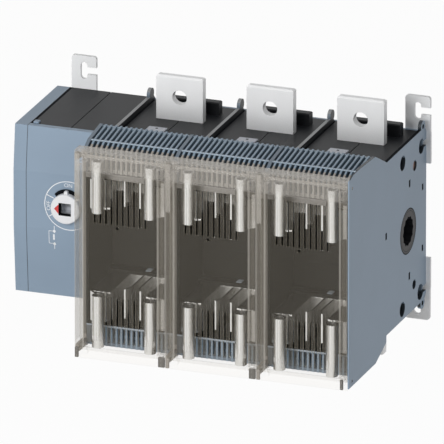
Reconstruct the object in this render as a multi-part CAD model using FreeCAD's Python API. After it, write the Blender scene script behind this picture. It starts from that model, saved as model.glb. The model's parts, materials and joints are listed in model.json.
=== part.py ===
import FreeCAD, Part
import math
import os

# Fuse switch disconnector, three poles, with a rotary drive module on the left.
# Millimetres, +X to the right, +Y to the back, +Z up.
# The solids are laid out from the front lower corner of the right wall and are
# moved on export, so that the origin is midway between the two lower mounting holes.

V = FreeCAD.Vector

# Pole block
POLES = 3
POLE_PITCH = 87.2
WALL = 3.2
LIP = 1.2
WALL_FRONT = 26.0
STEP_Y = 101.0
SWITCH_D = 107.0
REAR_Y = STEP_Y + SWITCH_D
KINK_Y = STEP_Y - 29.0
STEP_Z = 10.5
WALL_TOP = 201.0
SLOPE_Y = KINK_Y - 2.0
SLOPE_Z = 198.8
NOSE_Y = 11.0
NOSE_Z = 198.0
RIDGE_Z = 183.0
FLOOR_Z = 17.0
MID_Z = 97.7
REAR_CHAMFER = 5.0
BACK_PANEL = 3.0
COVER_PLATE = 3.0
PLATE_TOP_Z = 178.0
BLOCK_HALF_W = 29.0
BLOCK_Y = REAR_Y - 26.0
BLOCK_D = 9.0
BLOCK_H = 12.0
BLOCK_CHAMFER = 1.0
SEAM = 0.8
KNOB_Y = REAR_Y - 9.0
KNOB_R = 5.5
KNOB_HOLE_R = 2.4
NOTCH_REACH = 20.0
NOTCH_H = 6.0

# Vent louvres
FINS = 17
FIN = 1.9
LOUVRE_Y = 30.0
LOUVRE_BACK_Y = KINK_Y - 1.0
FIN_DEPTH = 7.0
LOUVRE_TOP_Z = 198.5
CREST_Y = 39.0
CREST_Z = 194.3
FIN_TOP_Z = 190.0
LOUVRE_LOW_Z = 0.8
VENT_UPPER_Z = 167.0
CROSS_BAR = 3.0
END_BAR = 2.0

# Fuse chamber
CHAMBER_WALL = 2.0
CHAMBER_FRONT_Y = 27.0
CONTACT_BACK_Y = 77.0
CHAMBER_BACK_Y = 89.0
CHAMBER_SKIN = 3.0
FUSE_LOW_Z = 58.0

# Fuse contacts
PILLAR_X = 25.2
PILLAR_Y = 11.0
PILLAR_R = 5.5
PILLAR_SHEET = 1.4
BRIDGE_FROM = 63.0
BRIDGE_TO = 32.0
PILLAR_H = 49.3
CONTACT_Z = 56.3
CONTACT_MID_Z = 96.0
LEAF_H = 28.0
LEAF = 1.6
OUTER_LEAF_X = 35.0
INNER_LEAF_X = 18.0
ENTRY_Y = 20.0
BEND_Y = 27.0
FLARE = 3.4
JAW_Y = 33.0
FINGERS = 4
FINGER_PITCH = 10.0
SLIT = 0.9
FINGER_ROOT = 6.0
CAP = 1.6
LEAF_FRONT_Y = 20.0
BLADE_GAP = 6.6
CONTACT_PLATE = 4.0
STEM_W = 30.0
STEM_T = 6.0
STEM_Z = 48.0

# Terminal bars
BAR_W = 45.0
BAR_T = 8.0
BAR_TOP_Z = 220.0
BAR_HOLE_R = 7.0
BAR_HOLE_DROP = 20.0
BAR_CHAMFER = 1.5
SLOT_CLEARANCE = 0.3

# Switch shaft and moving contacts
SHAFT_Y = REAR_Y - 49.0
BAR_Y = SHAFT_Y - 2.0
SHAFT_R = 9.0
RUNNING = 0.05
HUB_R = 21.5
HUB_L = 12.0
SOCKET_R = 14.2
SOCKET_DEPTH = 20.0
SLEEVE_FLOOR = 6.0
SLEEVE_WALL = 3.0
ROTOR_R = 24.0
ROTOR_L = 26.0
CORE_R = 15.0
BLADE_T = 4.0
BLADE_R = 44.0
BLADE_START = 72.0
BLADE_END = 122.0
JAW_T = 3.0
JAW_CLEARANCE = 0.4
JAW_R = 33.0
JAW_D = 8.0
BAR_ANGLE = 80.0
STEM_ANGLE = 115.0

# Transparent covers
COVER_W = 86.9
COVER_D = 13.0
COVER_LOW_Z = -2.0
COVER_TOP_Z = 197.0
PANE = 2.5
RIM_T = 4.3
RIM_W = 7.0
FLANGE = 3.0
HINGE_Y = 8.6
HINGE_Z = 4.9
LATCH_Z = 189.2
PIN_R = 1.5
EAR_R = 3.6
FLANGE_LOW_Z = 14.0
FLANGE_TOP_Z = 180.5
SLOTS = 10
SLOT_PITCH = 5.4
SLOT_W = 2.4
SLOT_LOW = (16.4, 59.0)
SLOT_HIGH = (129.0, 173.0)
TEST_HOLE_Z = 126.0
TEST_HOLE_R = 1.8
KNUCKLE_X = 36.5
KNUCKLE_L = 6.0
KNUCKLE_R = 4.0
HOOK = 1.0
HOOK_GAP = 0.3

# Drive module
DRIVE_W = 91.9
BAND_W = 12.3
DRIVE_SKIN = 3.0
DRIVE_FRONT_Y = STEP_Y - 3.5
DRIVE_BULGE_Y = DRIVE_FRONT_Y - 4.5
DRIVE_LOW_Z = 18.0
DRIVE_TOP_Z = 178.6
BULGE_LOW_Z = 82.0
BULGE_TOP_Z = 136.0
DIAL_Z = 105.5
DIAL_R = 14.0
DIAL_FRONT_Y = DRIVE_BULGE_Y - 7.0
DIAL_T = 6.0
DIAL_EDGE = 0.8
DIAL_SQUARE = 12.0
DIAL_SHAFT_R = 8.0
DIAL_SOCKET = 8.0
DIAL_STEP = 1.0
FRAME_Y = DRIVE_FRONT_Y + 6.5
FRAME_T = 3.0
BRACKET = 16.0
CROSS_Y = SHAFT_Y - 33.0
BEVEL_R = 14.0
BEVEL_FACE = 5.0
BEVEL_TEETH = 16
BEVEL_SLACK = 0.16
GEAR_IN = 21.7
GEAR_T = 7.0
GEAR_TEETH = 18
GEAR_SLACK = 0.06
PRESSURE = math.radians(20)
PRESSURE_INVOLUTE = math.tan(PRESSURE) - PRESSURE
ADDENDUM = 0.9
DEDENDUM = 1.15
CROSS_SHAFT_R = 5.0

# Mounting rails
RAIL_T = 3.0
LUG_W = 24.0
LUG_SPAN = 322.6
LUG_X = 8.3
LUG_OUT = 4.0
LUG_TOP_Z = 210.5
LUG_LOW_Z = -4.5
RAIL_HIGH = (146.7, 176.0)
RAIL_LOW = (26.0, 55.8)
LUG_HOLE_R = 3.5
LUG_HOLE_Z = 4.0
SLOT_Z = 196.3
SLOT_H = 16.0
SLOT_R = 3.25
LUG_MOUTH = 7.0
LUG_CORNER = 3.0

# Worked out
BLOCK_W = POLES * POLE_PITCH + WALL
INNER_W = POLE_PITCH - WALL
DEPTH = REAR_Y + RAIL_T
DRIVE_LEFT = BLOCK_W + DRIVE_W
DIAL_X = (BLOCK_W + DRIVE_LEFT - BAND_W) / 2
GEAR_X = DRIVE_LEFT - GEAR_IN
ORIGIN = V(-LUG_X - LUG_SPAN / 2, DEPTH, LUG_HOLE_Z)
HOUSE_BACK = REAR_Y - BACK_PANEL
VENT_LOWER_Z = 2 * MID_Z - PLATE_TOP_Z + COVER_PLATE


def wall_x(index):
    """Middle of wall number index, counted from the right outer wall."""
    return -WALL / 2 - index * POLE_PITCH


def pole_x(index):
    """Middle of pole number index, counted from the right."""
    return wall_x(index + 0.5)


def box(x0, x1, y0, y1, z0, z1):
    return Part.makeBox(x1 - x0, y1 - y0, z1 - z0, V(x0, y0, z0))


def rod_x(x0, x1, y, z, r):
    return Part.makeCylinder(r, x1 - x0, V(x0, y, z), V(1, 0, 0))


def rod_y(x, y0, y1, z, r):
    return Part.makeCylinder(r, y1 - y0, V(x, y0, z), V(0, 1, 0))


def rod_z(x, y, z0, z1, r):
    return Part.makeCylinder(r, z1 - z0, V(x, y, z0), V(0, 0, 1))


def prism_x(outline, x0, x1):
    """A YZ outline drawn out along X."""
    points = [V(x0, y, z) for y, z in outline]
    face = Part.Face(Part.makePolygon(points + points[:1]))
    return face.extrude(V(x1 - x0, 0, 0))


def join(first, *others):
    return first.fuse(list(others)).removeSplitter()


def flip(shape, middle=MID_Z):
    """The same piece turned over about a middle height."""
    return shape.mirror(V(0, 0, middle), V(0, 0, 1))


def save(name, shape):
    placed = shape.copy()
    placed.translate(-ORIGIN)
    placed.exportStep("parts/" + name + ".step")


# Walls

def right_outline():
    return [
        (0, 0), (KINK_Y, 0), (STEP_Y, STEP_Z), (STEP_Y, FLOOR_Z),
        (REAR_Y - REAR_CHAMFER, FLOOR_Z), (REAR_Y, FLOOR_Z + REAR_CHAMFER),
        (REAR_Y, RIDGE_Z - REAR_CHAMFER), (REAR_Y - REAR_CHAMFER, RIDGE_Z),
        (STEP_Y, RIDGE_Z), (SLOPE_Y, SLOPE_Z), (WALL_FRONT, WALL_TOP), (NOSE_Y, WALL_TOP), (0, NOSE_Z),
    ]


def inner_outline(rear):
    return [
        (WALL_FRONT, LOUVRE_LOW_Z), (KINK_Y, LOUVRE_LOW_Z), (STEP_Y, STEP_Z), (STEP_Y, FLOOR_Z),
        (rear - REAR_CHAMFER, FLOOR_Z), (rear, FLOOR_Z + REAR_CHAMFER),
        (rear, RIDGE_Z - REAR_CHAMFER), (rear - REAR_CHAMFER, RIDGE_Z),
        (STEP_Y, RIDGE_Z), (LOUVRE_BACK_Y, LOUVRE_TOP_Z), (CREST_Y, CREST_Z), (LOUVRE_Y, FIN_TOP_Z),
        (WALL_FRONT, FIN_TOP_Z - 2),
    ]


def knobs(x0, x1):
    top = rod_x(x0, x1, KNOB_Y, RIDGE_Z + 2, KNOB_R)
    low = rod_x(x0, x1, KNOB_Y, FLOOR_Z - 2, KNOB_R)
    return [top, low]


def knob_holes(x0, x1):
    return [
        rod_x(x0, x1, KNOB_Y, RIDGE_Z + 2, KNOB_HOLE_R),
        rod_x(x0, x1, KNOB_Y, FLOOR_Z - 2, KNOB_HOLE_R),
    ]


def pin_holes(x0, x1):
    return [
        rod_x(x0, x1, HINGE_Y, HINGE_Z, PIN_R),
        rod_x(x0, x1, HINGE_Y, LATCH_Z, PIN_R),
    ]


def right_wall():
    x = wall_x(0)
    x0 = x - WALL / 2
    x1 = x + WALL / 2
    wall = join(prism_x(right_outline(), x0, x1), *knobs(x0, x1))
    rebate = box(x0 - 1, x1 - LIP, -1, WALL_FRONT, -1, WALL_TOP + 1)
    cuts = [rebate] + knob_holes(x0 - 1, x1 + 1) + pin_holes(x0 - 1, x1 + 1)
    round_holes = [
        (13.4, 69.8, 7.0), (64.0, 70.1, 7.0), (31.2, 57.2, 5.0),
        (32.2, -56.9, 4.5), (15.3, -69.9, 7.5), (64.0, -70.3, 7.0),
    ]
    slots = [
        (45.2, 44.5, 4.0, 7.0), (9.7, 29.6, 4.0, 6.0), (108.5, 14.9, 4.0, 6.5),
        (9.7, -29.3, 4.0, 6.0), (45.2, -44.4, 4.0, 7.0),
    ]
    for inward, rise, r in round_holes:
        cuts.append(rod_x(x0 - 1, x1 + 1, REAR_Y - inward, MID_Z + rise, r))
        if inward < NOTCH_REACH:
            cuts.append(box(x0 - 1, x1 + 1, REAR_Y - inward, REAR_Y + 1,
                            MID_Z + rise - NOTCH_H / 2, MID_Z + rise + NOTCH_H / 2))
    for inward, rise, w, h in slots:
        y = REAR_Y - inward
        z = MID_Z + rise
        cuts.append(box(x0 - 1, x1 + 1, y - w / 2, y + w / 2, z - h / 2, z + h / 2))
    cuts.append(rod_x(x0 - 1, x1 + 1, SHAFT_Y, MID_Z, HUB_R + RUNNING))
    return wall.cut(cuts)


def inner_wall(index):
    x = wall_x(index)
    x0 = x - WALL / 2
    x1 = x + WALL / 2
    low_arm = box(x0, x1, HINGE_Y, WALL_FRONT + 1, HINGE_Z - EAR_R, HINGE_Z + EAR_R)
    top_arm = box(x0, x1, HINGE_Y, WALL_FRONT + 1, LATCH_Z - EAR_R, FIN_TOP_Z - 2)
    ears = [
        rod_x(x0, x1, HINGE_Y, HINGE_Z, EAR_R),
        rod_x(x0, x1, HINGE_Y, LATCH_Z, EAR_R),
    ]
    rear = REAR_Y if index == POLES else HOUSE_BACK
    wall = join(prism_x(inner_outline(rear), x0, x1), low_arm, top_arm, *ears, *knobs(x0, x1))
    cuts = pin_holes(x0 - 1, x1 + 1)
    cuts.append(rod_x(x0 - 1, x1 + 1, SHAFT_Y, MID_Z, SHAFT_R + RUNNING))
    return wall.cut(cuts)


# Louvres above and below each chamber

def louvre(x, fin_outline, bars):
    half = INNER_W / 2
    pitch = POLE_PITCH / (FINS + 1)
    pieces = []
    for index in range(FINS):
        middle = x + (index - (FINS - 1) / 2) * pitch
        pieces.append(prism_x(fin_outline, middle - FIN / 2, middle + FIN / 2))
    for y0, y1, z0, z1 in bars:
        pieces.append(box(x - half, x + half, y0, y1, z0, z1))
    return join(pieces[0], *pieces[1:])


def top_louvre(x):
    inner_y = LOUVRE_Y + FIN_DEPTH
    outline = [
        (LOUVRE_Y, VENT_UPPER_Z), (LOUVRE_Y, FIN_TOP_Z), (CREST_Y, CREST_Z),
        (LOUVRE_BACK_Y, LOUVRE_TOP_Z), (LOUVRE_BACK_Y, LOUVRE_TOP_Z - FIN_DEPTH),
        (CREST_Y + 2, CREST_Z - FIN_DEPTH), (inner_y, FIN_TOP_Z - FIN_DEPTH), (inner_y, VENT_UPPER_Z),
    ]
    bars = [
        (LOUVRE_BACK_Y - END_BAR, LOUVRE_BACK_Y, PLATE_TOP_Z - COVER_PLATE, LOUVRE_TOP_Z - 1),
        (LOUVRE_Y + 2, inner_y, VENT_UPPER_Z, VENT_UPPER_Z + CROSS_BAR),
        (inner_y - END_BAR, inner_y, FIN_TOP_Z - FIN_DEPTH - CROSS_BAR, FIN_TOP_Z - FIN_DEPTH),
    ]
    return louvre(x, outline, bars)


def bottom_louvre(x):
    inner_y = LOUVRE_Y + FIN_DEPTH
    low = LOUVRE_LOW_Z
    outline = [
        (LOUVRE_Y, VENT_LOWER_Z), (LOUVRE_Y, low), (LOUVRE_BACK_Y, low),
        (LOUVRE_BACK_Y, low + FIN_DEPTH), (inner_y, low + FIN_DEPTH), (inner_y, VENT_LOWER_Z),
    ]
    bars = [
        (LOUVRE_BACK_Y - END_BAR, LOUVRE_BACK_Y, low + 1, VENT_LOWER_Z),
        (LOUVRE_Y + 2, inner_y, VENT_LOWER_Z - CROSS_BAR, VENT_LOWER_Z),
        (inner_y - END_BAR, inner_y, low + FIN_DEPTH, low + FIN_DEPTH + CROSS_BAR),
    ]
    return louvre(x, outline, bars)


# Fuse chamber, a dark moulded tray behind each cover

def chamber(x):
    half = INNER_W / 2
    low = VENT_LOWER_Z
    high = VENT_UPPER_Z
    t = CHAMBER_SKIN
    fuse_top = 2 * MID_Z - FUSE_LOW_Z
    front = CHAMBER_FRONT_Y
    rear = CHAMBER_BACK_Y + t
    back = [
        (front, low), (CONTACT_BACK_Y + t, low), (CONTACT_BACK_Y + t, FUSE_LOW_Z - t),
        (rear, FUSE_LOW_Z - t), (rear, fuse_top + t), (CONTACT_BACK_Y + t, fuse_top + t),
        (CONTACT_BACK_Y + t, high), (front, high), (front, high - t), (CONTACT_BACK_Y, high - t),
        (CONTACT_BACK_Y, fuse_top), (CHAMBER_BACK_Y, fuse_top), (CHAMBER_BACK_Y, FUSE_LOW_Z),
        (CONTACT_BACK_Y, FUSE_LOW_Z), (CONTACT_BACK_Y, low + t), (front, low + t),
    ]
    tray = join(
        prism_x(back, x - half, x + half),
        box(x - half, x - half + CHAMBER_WALL, front, rear, low, high),
        box(x + half - CHAMBER_WALL, x + half, front, rear, low, high),
    )
    gap = SLOT_CLEARANCE
    stem_hole = box(
        x - STEM_W / 2 - gap, x + STEM_W / 2 + gap, CONTACT_BACK_Y - 1, CONTACT_BACK_Y + t + 1,
        STEM_Z - STEM_T / 2 - gap, STEM_Z + STEM_T / 2 + gap,
    )
    return tray.cut([stem_hole, flip(stem_hole, CONTACT_MID_Z)])


# Contacts and bars

def jaw_spot(angle):
    """Where a fixed jaw meets the moving blade, at an angle about the switch shaft."""
    away = math.radians(angle)
    reach = JAW_R + JAW_D
    return SHAFT_Y + reach * math.cos(away), MID_Z + reach * math.sin(away)


def blade_jaws(x, y, z0, z1):
    """Two plates, one each side of the moving blade."""
    inner = BLADE_T / 2 + JAW_CLEARANCE
    plates = []
    for x0 in (x + inner, x - inner - JAW_T):
        plates.append(box(x0, x0 + JAW_T, y - JAW_D / 2, y + JAW_D / 2, z0, z1))
    return plates


def spring_leaf(x, offset, side, entry, plate_y, low):
    """Upright leaf with a flared entry, slit into fingers that hang from its upper edge."""
    bend = entry + BEND_Y - ENTRY_Y
    inside = x + offset - side * LEAF / 2
    outside = x + offset + side * LEAF / 2
    corners = [
        V(inside, plate_y, low), V(inside, bend, low), V(inside + side * FLARE, entry, low),
        V(outside + side * FLARE, entry, low), V(outside, bend, low), V(outside, plate_y, low),
    ]
    leaf = Part.Face(Part.makePolygon(corners + corners[:1])).extrude(V(0, 0, LEAF_H))
    left = min(inside, outside) - FLARE - 1
    right = max(inside, outside) + FLARE + 1
    slits = []
    for finger in range(FINGERS):
        y = bend + finger * FINGER_PITCH
        slits.append(box(left, right, y - SLIT / 2, y + SLIT / 2, low - 1, low + LEAF_H - FINGER_ROOT))
    return leaf.cut(slits)


def contact_body(x):
    """Lower contact: rolled entry pillars, spring leaves, blade jaws and a rear stem."""
    low = CONTACT_Z - LEAF_H
    plate_y = CONTACT_BACK_Y - CONTACT_PLATE
    pieces = []
    plate = box(x - OUTER_LEAF_X - LEAF / 2, x + OUTER_LEAF_X + LEAF / 2,
                plate_y, CONTACT_BACK_Y, low, CONTACT_Z)
    for side in (-1, 1):
        pillar = rod_z(x + side * PILLAR_X, PILLAR_Y, CONTACT_Z - PILLAR_H, CONTACT_Z, PILLAR_R)
        core = rod_z(x + side * PILLAR_X, PILLAR_Y, CONTACT_Z - PILLAR_H - 1, CONTACT_Z + 1,
                     PILLAR_R - PILLAR_SHEET)
        outer = side * OUTER_LEAF_X
        pieces.append(box(x + outer - LEAF / 2, x + outer + LEAF / 2, LEAF_FRONT_Y, plate_y, low, CONTACT_Z))
        middle_r = PILLAR_R - PILLAR_SHEET / 2
        start = math.radians(BRIDGE_FROM)
        end = math.radians(BRIDGE_TO)
        bridge = [
            V(x + side * (PILLAR_X + middle_r * math.cos(start)), PILLAR_Y + middle_r * math.sin(start), low),
            V(x + side * (PILLAR_X + middle_r * math.cos(end)), PILLAR_Y + middle_r * math.sin(end), low),
            V(x + outer + side * LEAF / 2, LEAF_FRONT_Y, low),
            V(x + outer - side * LEAF / 2, LEAF_FRONT_Y + LEAF / 2, low),
        ]
        face = Part.Face(Part.makePolygon(bridge + bridge[:1]))
        pieces.append(face.extrude(V(0, 0, LEAF_H)))
        cap_inner = side * (INNER_LEAF_X - LEAF / 2)
        cap = [
            V(x + outer, LEAF_FRONT_Y, CONTACT_Z - CAP), V(x + cap_inner, ENTRY_Y + CAP, CONTACT_Z - CAP),
            V(x + cap_inner, plate_y, CONTACT_Z - CAP), V(x + outer, plate_y, CONTACT_Z - CAP),
        ]
        face = Part.Face(Part.makePolygon(cap + cap[:1]))
        pieces.append(face.extrude(V(0, 0, CAP)))
        pieces.append(pillar.cut(core))
        pieces.append(spring_leaf(x, side * INNER_LEAF_X, side, ENTRY_Y, plate_y, low))
        pieces.append(spring_leaf(x, side * (BLADE_GAP + LEAF) / 2, side, JAW_Y, plate_y, low))
    stem = box(x - STEM_W / 2, x + STEM_W / 2, CONTACT_BACK_Y - 1, jaw_spot(STEM_ANGLE)[0] + JAW_D / 2,
               STEM_Z - STEM_T / 2, STEM_Z + STEM_T / 2)
    return join(plate, stem, *pieces)


def lower_contact(x):
    y, z = jaw_spot(-STEM_ANGLE)
    return join(contact_body(x), *blade_jaws(x, y, STEM_Z, z + JAW_D))


def upper_contact(x):
    y, z = jaw_spot(STEM_ANGLE)
    stem_z = 2 * CONTACT_MID_Z - STEM_Z
    return join(flip(contact_body(x), CONTACT_MID_Z), *blade_jaws(x, y, z - JAW_D, stem_z))


def terminal_bar(x):
    """Upper bar, with its jaw plates below the bar's inner end."""
    y, z = jaw_spot(BAR_ANGLE)
    inner_z = z + JAW_D
    bar = box(x - BAR_W / 2, x + BAR_W / 2, BAR_Y, BAR_Y + BAR_T, inner_z, BAR_TOP_Z)
    edges = [e for e in bar.Edges if abs(e.CenterOfMass.z - BAR_TOP_Z) < 0.01]
    bar = bar.makeChamfer(BAR_CHAMFER, edges)
    shape = join(bar, *blade_jaws(x, y, z - JAW_D, inner_z + JAW_D))
    hole = rod_y(x, BAR_Y - 1, BAR_Y + BAR_T + 1, BAR_TOP_Z - BAR_HOLE_DROP, BAR_HOLE_R)
    return shape.cut(hole)


def end_plate(x):
    """Black plate on top of a pole, with the terminal slot and a raised block."""
    half = INNER_W / 2
    z0 = PLATE_TOP_Z - COVER_PLATE
    plate = box(x - half, x + half, LOUVRE_BACK_Y, HOUSE_BACK, z0, PLATE_TOP_Z)
    block = box(x - BLOCK_HALF_W, x + BLOCK_HALF_W, BLOCK_Y, BLOCK_Y + BLOCK_D,
                PLATE_TOP_Z, PLATE_TOP_Z + BLOCK_H)
    edges = [e for e in block.Edges if abs(e.CenterOfMass.z - PLATE_TOP_Z - BLOCK_H) < 0.01]
    block = block.makeChamfer(BLOCK_CHAMFER, edges)
    gap = SLOT_CLEARANCE
    slot = box(x - BAR_W / 2 - gap, x + BAR_W / 2 + gap, BAR_Y - gap, BAR_Y + BAR_T + gap,
               z0 - 1, PLATE_TOP_Z + 1)
    seam = box(x - SEAM / 2, x + SEAM / 2, LOUVRE_BACK_Y - 1, BLOCK_Y,
               PLATE_TOP_Z - SEAM, PLATE_TOP_Z + 1)
    return join(plate, block).cut([slot, seam])


# Switch shaft

def hexagon(x0, x1, r, turn=0):
    """Six-sided prism about the switch shaft."""
    points = []
    for corner in range(6):
        angle = math.radians(60 * corner + turn)
        points.append((SHAFT_Y + r * math.cos(angle), MID_Z + r * math.sin(angle)))
    return prism_x(points, x0, x1)


def switch_shaft():
    hub = rod_x(-HUB_L, 0, SHAFT_Y, MID_Z, HUB_R)
    sleeve_end = -SOCKET_DEPTH - SLEEVE_FLOOR
    sleeve = rod_x(sleeve_end, -HUB_L, SHAFT_Y, MID_Z, SOCKET_R + SLEEVE_WALL)
    shaft = rod_x(-GEAR_X - GEAR_T, sleeve_end, SHAFT_Y, MID_Z, SHAFT_R)
    star = [hexagon(-SOCKET_DEPTH, 1, SOCKET_R, turn) for turn in (0, 30)]
    return join(hub, sleeve, shaft).cut(star)


def rotor(x):
    """Drum in two cheeks on a six-sided core, which carries the moving contact."""
    half = BLADE_T / 2
    cheeks = [
        rod_x(x - ROTOR_L / 2, x - half, SHAFT_Y, MID_Z, ROTOR_R),
        rod_x(x + half, x + ROTOR_L / 2, SHAFT_Y, MID_Z, ROTOR_R),
    ]
    core = hexagon(x - half, x + half, CORE_R)
    bore = rod_x(x - ROTOR_L, x + ROTOR_L, SHAFT_Y, MID_Z, SHAFT_R)
    return join(core, *cheeks).cut(bore)


def moving_contact(x):
    """Two blade sectors on one six-sided ring, drawn in the off position."""
    ring = hexagon(x - BLADE_T / 2, x + BLADE_T / 2, ROTOR_R - 1)
    bore = hexagon(x - BLADE_T, x + BLADE_T, CORE_R)
    sectors = []
    for start in (BLADE_START, -BLADE_END):
        first = start - 90
        sector = Part.makeCylinder(BLADE_R, BLADE_T, V(0, 0, 0), V(0, 0, 1), BLADE_END - BLADE_START)
        sector.rotate(V(0, 0, 0), V(0, 0, 1), first)
        sector.rotate(V(0, 0, 0), V(1, 1, 1), 120)
        sector.translate(V(x - BLADE_T / 2, SHAFT_Y, MID_Z))
        sectors.append(sector)
    return join(ring, *sectors).cut(bore)


# Transparent cover

def fuse_cover(x):
    half = COVER_W / 2
    body = box(x - half, x + half, 0, COVER_D, COVER_LOW_Z, COVER_TOP_Z)
    inside = box(x - half + FLANGE, x + half - FLANGE, RIM_T, COVER_D + 1,
                 COVER_LOW_Z - 1, COVER_TOP_Z - FLANGE)
    window = box(x - half + RIM_W, x + half - RIM_W, PANE, RIM_T + 1,
                 COVER_LOW_Z + RIM_W, COVER_TOP_Z - RIM_W)
    cuts = [inside, window]
    for side in (-1, 1):
        x0 = min(x + side * (half - FLANGE - 1), x + side * (half + 1))
        x1 = x0 + FLANGE + 2
        cuts.append(box(x0, x1, RIM_T, COVER_D + 1, COVER_LOW_Z - 1, FLANGE_LOW_Z))
        cuts.append(box(x0, x1, RIM_T, COVER_D + 1, FLANGE_TOP_Z, COVER_TOP_Z - FLANGE))
    for index in range(SLOTS):
        middle = x + (index - (SLOTS - 1) / 2) * SLOT_PITCH
        for z0, z1 in (SLOT_LOW, SLOT_HIGH):
            cuts.append(box(middle - SLOT_W / 2, middle + SLOT_W / 2, -1, PANE + 1, z0, z1))
    cuts.append(rod_y(x - SLOT_PITCH / 2, -1, PANE + 1, TEST_HOLE_Z, TEST_HOLE_R))
    shell = body.cut(cuts)
    knuckles = []
    bores = []
    for side in (-1, 1):
        x0 = x + side * KNUCKLE_X - KNUCKLE_L / 2
        x1 = x0 + KNUCKLE_L
        knuckles.append(rod_x(x0, x1, HINGE_Y, HINGE_Z, KNUCKLE_R))
        knuckles.append(box(x0, x1, PANE, HINGE_Y, HINGE_Z - KNUCKLE_R, HINGE_Z + KNUCKLE_R))
        knuckles.append(box(x0, x1, PANE, HINGE_Y + HOOK, LATCH_Z - KNUCKLE_R, LATCH_Z + KNUCKLE_R))
        bores.append(rod_x(x0 - 1, x1 + 1, HINGE_Y, HINGE_Z, PIN_R + RUNNING))
        mouth = PIN_R + HOOK_GAP
        bores.append(box(x0 - 1, x1 + 1, HINGE_Y - mouth, HINGE_Y + HOOK + 1,
                         LATCH_Z - mouth, LATCH_Z + mouth))
    return join(shell, *knuckles).cut(bores)


def cover_rod(z):
    return rod_x(wall_x(POLES) - WALL / 2, 0, HINGE_Y, z, PIN_R)


# Drive module

def drive_outline(inset):
    return [
        (DRIVE_FRONT_Y + inset, DRIVE_LOW_Z + inset), (DRIVE_BULGE_Y + inset, BULGE_LOW_Z),
        (DRIVE_BULGE_Y + inset, BULGE_TOP_Z), (DRIVE_FRONT_Y + inset, DRIVE_TOP_Z - inset),
        (REAR_Y - inset, DRIVE_TOP_Z - inset), (REAR_Y - inset, DRIVE_LOW_Z + inset),
    ]


def drive_side_cover():
    x0 = -DRIVE_LEFT
    x1 = -DRIVE_LEFT + BAND_W
    skin = DRIVE_SKIN
    outer = prism_x(drive_outline(0), x0, x1)
    inner = prism_x(drive_outline(skin), x0 + skin, x1 + 1)
    return outer.cut(inner)


def drive_front():
    x0 = -DRIVE_LEFT + BAND_W
    x1 = -BLOCK_W
    skin = DRIVE_SKIN
    outer = prism_x(drive_outline(0), x0, x1)
    inner = prism_x(drive_outline(skin), x0 - 1, x1 + 1)
    front_zone = box(x0 - 1, x1 + 1, 0, DRIVE_FRONT_Y + 2 * skin, 0, WALL_TOP)
    hole = rod_y(-DIAL_X, 0, STEP_Y, DIAL_Z, DIAL_SHAFT_R + 1)
    return outer.cut(inner).common(front_zone).cut(hole)


def drive_plate():
    """Black plate on top of the drive module."""
    x0 = -DRIVE_LEFT + BAND_W
    x1 = -BLOCK_W
    y0 = DRIVE_FRONT_Y + 2 * DRIVE_SKIN
    plate = box(x0, x1, y0, REAR_Y, DRIVE_TOP_Z - DRIVE_SKIN, DRIVE_TOP_Z)
    middle = (x0 + x1) / 2
    seam = box(middle - SEAM / 2, middle + SEAM / 2, y0 - 1, REAR_Y + 1,
               DRIVE_TOP_Z - SEAM, DRIVE_TOP_Z + 1)
    return plate.cut(seam)


def drive_back():
    return box(-DRIVE_LEFT + BAND_W, -BLOCK_W, HOUSE_BACK, REAR_Y,
               DRIVE_LOW_Z + DRIVE_SKIN, DRIVE_TOP_Z - DRIVE_SKIN)


def drive_frame():
    """Bearing plate behind the front panel with a bracket for the cross shaft."""
    x0 = -DRIVE_LEFT + BAND_W
    x1 = -BLOCK_W
    plate = box(x0, x1, FRAME_Y, FRAME_Y + FRAME_T,
                DRIVE_LOW_Z + DRIVE_SKIN, DRIVE_TOP_Z - DRIVE_SKIN)
    dial_hole = rod_y(-DIAL_X, 0, REAR_Y, DIAL_Z, DIAL_SHAFT_R + RUNNING)
    bracket_x = -GEAR_X + GEAR_T + FRAME_T
    bracket = box(bracket_x, bracket_x + FRAME_T, FRAME_Y, SHAFT_Y + BRACKET,
                  MID_Z - BRACKET, DIAL_Z + BRACKET)
    cross_hole = rod_x(-GEAR_X, -DIAL_X, CROSS_Y, DIAL_Z, CROSS_SHAFT_R + RUNNING)
    main_hole = rod_x(-GEAR_X, -DIAL_X, SHAFT_Y, MID_Z, SHAFT_R + RUNNING)
    return join(plate, bracket).cut([dial_hole, cross_hole, main_hole])


def dial():
    disc = rod_y(-DIAL_X, DIAL_FRONT_Y, DIAL_FRONT_Y + DIAL_T, DIAL_Z, DIAL_R)
    edges = [e for e in disc.Edges if abs(e.CenterOfMass.y - DIAL_FRONT_Y) < 0.01]
    disc = disc.makeChamfer(DIAL_EDGE, edges)
    half = DIAL_SQUARE / 2
    socket = box(-DIAL_X - half, -DIAL_X + half, DIAL_FRONT_Y - 1, DIAL_FRONT_Y + DIAL_T + 1,
                 DIAL_Z - half, DIAL_Z + half)
    return disc.cut(socket)


def gear_points(teeth, radius, slack, toward, scale=1):
    """Involute teeth about a centre, with one tooth in the middle of a direction."""
    module = 2 * radius / teeth
    base = radius * math.cos(PRESSURE)
    spread = PRESSURE_INVOLUTE + math.pi / (2 * teeth) * (1 - slack)
    levels = []
    for r in (radius - DEDENDUM * module, radius, radius + ADDENDUM * module):
        slope = math.acos(base / max(r, base))
        levels.append((scale * r, spread - math.tan(slope) + slope))
    points = []
    for tooth in range(teeth):
        middle = toward + 2 * math.pi * tooth / teeth
        flank = [(r, middle - half) for r, half in levels]
        flank += [(r, middle + half) for r, half in reversed(levels)]
        points += [(r * math.cos(angle), r * math.sin(angle)) for r, angle in flank]
    return points


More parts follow.
